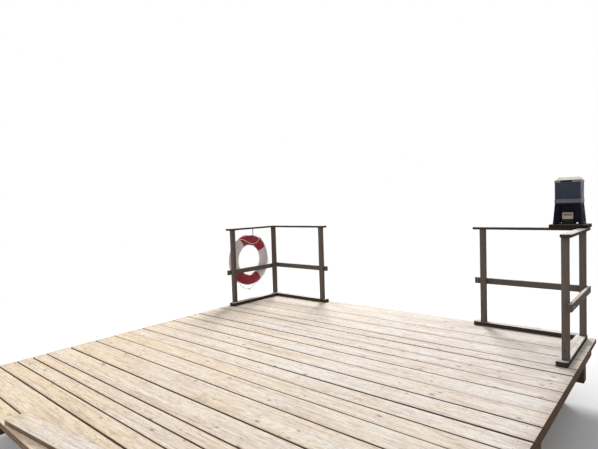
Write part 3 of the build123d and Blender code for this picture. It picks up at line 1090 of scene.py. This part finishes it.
def rib(number, axis, out, place, width):
    """An upright rib, leaning as its wall does; the wall looks along an axis, out or back."""
    low = [base_middle.x - width / 2, base_middle.y - width / 2, rib_low]
    high = [base_middle.x + width / 2, base_middle.y + width / 2, rib_high]
    low[1 - axis] += place
    high[1 - axis] += place
    piece = block(f"housing_rib_{number}", low, high)
    for vertex in piece.data.vertices:
        share = (vertex.co.z - base_low.z) / (base_high.z - base_low.z)
        wall = base_foot_half[axis] * (1 - share) + base_top_half[axis] * share
        is_outer = (vertex.co[axis] - base_middle[axis]) * out > 0
        vertex.co[axis] = base_middle[axis] + out * (wall + (rib_rise if is_outer else -rib_root))
    face_outwards(piece)
    ease_edges(piece, 0.0018)
    return piece


rib_places = [(1, -1, place, 0.012) for place in (-0.088, 0.088)]
rib_places += [(0, out, place, 0.012) for out in (-1, 1) for place in (-0.06, 0.0, 0.06)]
rib_places += [(1, 1, place, 0.01) for place in (-0.066, -0.022, 0.022, 0.066)]
ribs = [rib(number, *place) for number, place in enumerate(rib_places)]
finish_piece(joined("feeder_housing_ribs", ribs), "black_plastic", smooth=40)

# Outlet, louvre and label on the housing's front panel

outlet_low, outlet_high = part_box("feeder_outlet")
plate_low, plate_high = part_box("feeder_plate")
outlet = block("feeder_outlet_tray", outlet_low, outlet_high)
press(outlet, is_front, (0, 0.014, 0), inset=0.004)
ease_edges(outlet, 0.001)
finish_piece(outlet, "brown_plastic", ["feeder_outlet"])

panel_y = plate_high.y
louvre_low = outlet_high.z + 0.003
slat_pitch, slat_thickness, slat_slope = 0.0085, 0.0022, 0.0045
louvre = block(
    "feeder_louvre",
    (outlet_low.x + 0.004, panel_y - 0.0015, louvre_low),
    (outlet_high.x - 0.004, panel_y + 0.001, louvre_low + 0.027),
)
slats = [louvre]
for number in range(3):
    level = louvre_low + 0.002 + slat_pitch * number
    slat = block(
        f"louvre_slat_{number}",
        (outlet_low.x + 0.007, panel_y - 0.006, level),
        (outlet_high.x - 0.007, panel_y - 0.001, level + slat_thickness),
    )
    pick(slat, "VERT", lambda vertex: vertex.co.y > panel_y - 0.003)
    bpy.ops.transform.translate(value=(0, 0, slat_slope))
    done()
    ease_edges(slat, 0.0005)
    slats.append(slat)
finish_piece(joined("feeder_louvre", slats), "brown_plastic")

label = block("feeder_label_plate", plate_low, plate_high)
press(label, is_front, (0, 0.001, 0), inset=0.005)
ease_edges(label, 0.0005)
finish_piece(label, "label_beige", ["feeder_plate"])
field = block(
    "feeder_label_field",
    (plate_low.x + 0.010, plate_low.y + 0.0004, plate_low.z + 0.031),
    (plate_high.x - 0.010, plate_low.y + 0.0012, plate_high.z - 0.010),
)
ease_edges(field, 0.0003, 1)
finish_piece(field, "label_brown")

# Hopper with its flange below and its rim above

hopper_low, hopper_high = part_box("feeder_hopper")
hopper_middle = (hopper_low + hopper_high) / 2
flange_top = hopper_low.z + 0.038
rim_bottom = hopper_high.z - 0.020
walls = rounded_block(
    "feeder_hopper_walls",
    (hopper_low.x + 0.003, hopper_low.y + 0.003, flange_top - 0.002),
    (hopper_high.x - 0.003, hopper_high.y - 0.003, rim_bottom + 0.002),
    0.011,
)
ease_edges(walls, 0.001, 2, 50)
finish_piece(walls, "grey_plastic", ["feeder_hopper"], smooth=40)
flange = rounded_block("feeder_hopper_flange", hopper_low, (*hopper_high.xy, flange_top), 0.014)
ease_edges(flange, 0.0022, 2, 50)
finish_piece(flange, "band_plastic", ["feeder_hopper"], smooth=40)

rim = rounded_block("feeder_hopper_rim", (*hopper_low.xy, rim_bottom), hopper_high, 0.014)
grip_left = (hopper_low.x + hopper_high.x) / 2 - 0.056
grip_right = grip_left + 0.096
grip_low, grip_high = rim_bottom + 0.002, hopper_high.z - 0.002
for normal, levels in ((Vector((1, 0, 0)), (grip_left, grip_right)), (Vector(up), (grip_low, grip_high))):
    for level in levels:
        pick(rim, "FACE", is_front)
        bpy.ops.mesh.bisect(plane_co=normal * level, plane_no=normal)
        done()


def in_grip(face):
    """Whether a face of the rim's front lies in the grip."""
    middle = face.calc_center_median()
    return is_front(face) and grip_left < middle.x < grip_right and grip_low < middle.z < grip_high


press(rim, in_grip, (0, 0.010, 0))
ease_edges(rim, 0.0012, 2, 50)
finish_piece(rim, "rim_plastic", ["feeder_hopper"], smooth=40)
grip_play = 0.0006
# A black plate in the grip's recess stands in for the shade in the notch: painted shade
grip_shade_plate = block(
    "feeder_grip_back",
    (grip_left + grip_play, hopper_low.y + 0.0062, grip_low + grip_play),
    (grip_right - grip_play, hopper_low.y + 0.0112, grip_high - grip_play),
)
ease_edges(grip_shade_plate, 0.0008)
finish_piece(grip_shade_plate, "black_plastic")

flange_level = (hopper_low.z + flange_top) / 2
side_wall, front_wall = 0.110, 0.106  # how far the flange's walls stand from its middle
flange_screws = []
for reach in (-0.078, 0.078):
    for out in (-1, 1):
        spots = ((reach, out * front_wall, (0, out, 0)), (out * side_wall, reach, (out, 0, 0)))
        for x, y, direction in spots:
            place = (hopper_middle.x + x, hopper_middle.y + y, flange_level)
            flange_screws.append((place, direction))
fixings("flange_screws", screw_head, flange_screws, "steel")

lid_crown = 0.0025
lid = from_node("feeder_lid_shell", "feeder_lid")
pick(lid, "FACE", is_top)
bpy.ops.transform.translate(value=(0, 0, -lid_crown))
bpy.ops.mesh.inset(thickness=0.014)
bpy.ops.transform.translate(value=(0, 0, lid_crown))
done()
ease_edges(lid, 0.005, 3, 25)
finish_piece(lid, "cream_plastic", ["feeder_lid"], smooth=45)

for model in (screw_head, bolt_head):
    bpy.data.objects.remove(model)


# Floor, light and background

white = (1, 1, 1, 1)


def seen_directly():
    """Above 0 for what the camera sees, also in a mirror or through glass, and 0 for light that falls."""
    rays = add("LightPath").outputs
    return plus(rays["Is Camera Ray"], plus(rays["Is Glossy Ray"], rays["Is Transmission Ray"]))


# A plain pale floor that shows white behind the object
shader = new_material("floor", Base_Color=(0.84, 0.84, 0.84, 1), Roughness=0.9, specular=0.1)
surface = shader.outputs[0].links[0].to_socket
away = vector_calc("LENGTH", add("TexCoord").outputs["Object"], result="Value")
share = times(seen_directly(), step_up(away, 3.5, 9.0), clamp=True)
glow = add("Emission", {"Color": white, "Strength": 1.0}).outputs[0]
wire(add("MixShader", {0: share, 1: shader.outputs[0], 2: glow}).outputs[0], surface)
bpy.ops.mesh.primitive_plane_add(size=120, location=(0, 0, 0))
floor = settle("floor")
floor.data.materials.append(materials["floor"])

world = bpy.data.worlds.new("studio")
bpy.context.scene.world = world
world.use_nodes = True
world.node_tree.nodes.clear()
work["tree"] = world.node_tree
strength = scaled(seen_directly(), 0.42, 0.58, clamp=True)
backdrop = add("Background", {"Color": white, "Strength": strength})
wire(backdrop.outputs[0], add("OutputWorld").inputs[0])


def lamp(name, place, size, power):
    """A soft square lamp that looks at the middle of the object."""
    data = bpy.data.lights.new(name, "AREA")
    data.energy = power
    data.size = size
    made = placed(name, data)
    made.location = place
    made.rotation_euler = (Vector((0, 0, 0.8)) - Vector(place)).to_track_quat("-Z", "Y").to_euler()


lamp("key_lamp", (-7.2, 12.0, 11.5), 4.8, 2750)
lamp("fill_lamp", (-4.0, -8.0, 4.5), 6.0, 200)
